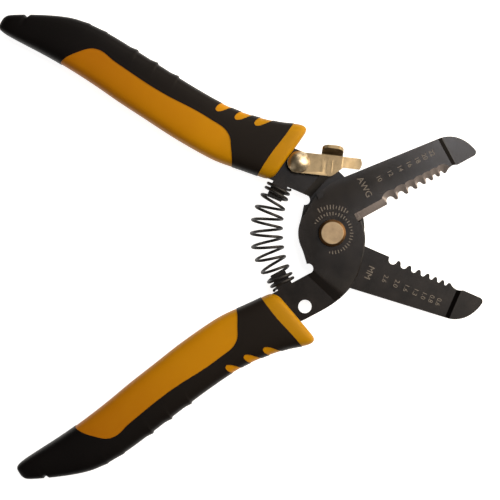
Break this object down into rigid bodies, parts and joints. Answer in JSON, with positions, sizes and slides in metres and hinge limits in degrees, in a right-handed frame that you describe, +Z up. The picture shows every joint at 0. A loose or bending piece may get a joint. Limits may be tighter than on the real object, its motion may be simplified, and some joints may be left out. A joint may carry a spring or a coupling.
{
  "type": "wire stripper",
  "caption": "Spring-opened hand wire stripper with crossed notched blades, black and yellow moulded grips, a barrel spring and a thumb latch.",
  "frame": {"origin": "under the middle of the tool's box, on the surface that the grips lie on, handles sprung fully open", "axes": "+X from the handle tails to the jaw tips along the line that halves the opening, +Y towards the upper handle, +Z up, out of the face with the pivot head"},
  "size_m": [0.1508, 0.1482, 0.0143],
  "materials": {
    "blade_steel": "black oxide steel, satin, ground bevels bright",
    "pivot_plating": "plated steel, turned face",
    "dark_hardware": "dark plated steel",
    "spring_steel": "black coated spring wire",
    "latch_plating": "bright nickel plated pressed steel",
    "grip_yellow": "satin yellow thermoplastic elastomer",
    "grip_black": "satin black thermoplastic elastomer"
  },
  "bodies": {
    "awg_half": {"awg_blade": "blade_steel", "pivot_bolt": "pivot_plating", "pivot_washer": "dark_hardware", "pivot_nut": "dark_hardware", "return_spring": "spring_steel", "lower_grip_core": "grip_yellow", "lower_grip_cover": "grip_black"},
    "mm_half": {"mm_blade": "blade_steel", "latch_rivet": "latch_plating", "latch_spacer": "latch_plating", "upper_grip_core": "grip_yellow", "upper_grip_cover": "grip_black"},
    "latch": {"latch_lever": "latch_plating"}
  },
  "joints": [
    {"name": "jaw_pivot", "type": "hinge", "parent": "awg_half", "child": "mm_half", "pos_m": [0.02827, 0, 0.00625], "axis": [0, 0, 1], "range_deg": [0, 52], "stiffness_Nm_per_rad": 0.6, "springref_deg": -11.46, "deforming": ["return_spring"]},
    {"name": "latch_pivot", "type": "hinge", "parent": "mm_half", "child": "latch", "pos_m": [0.01861, 0.02307, 0.01025], "axis": [0, 0, 1], "range_deg": [-29.2, 4]}
  ]
}
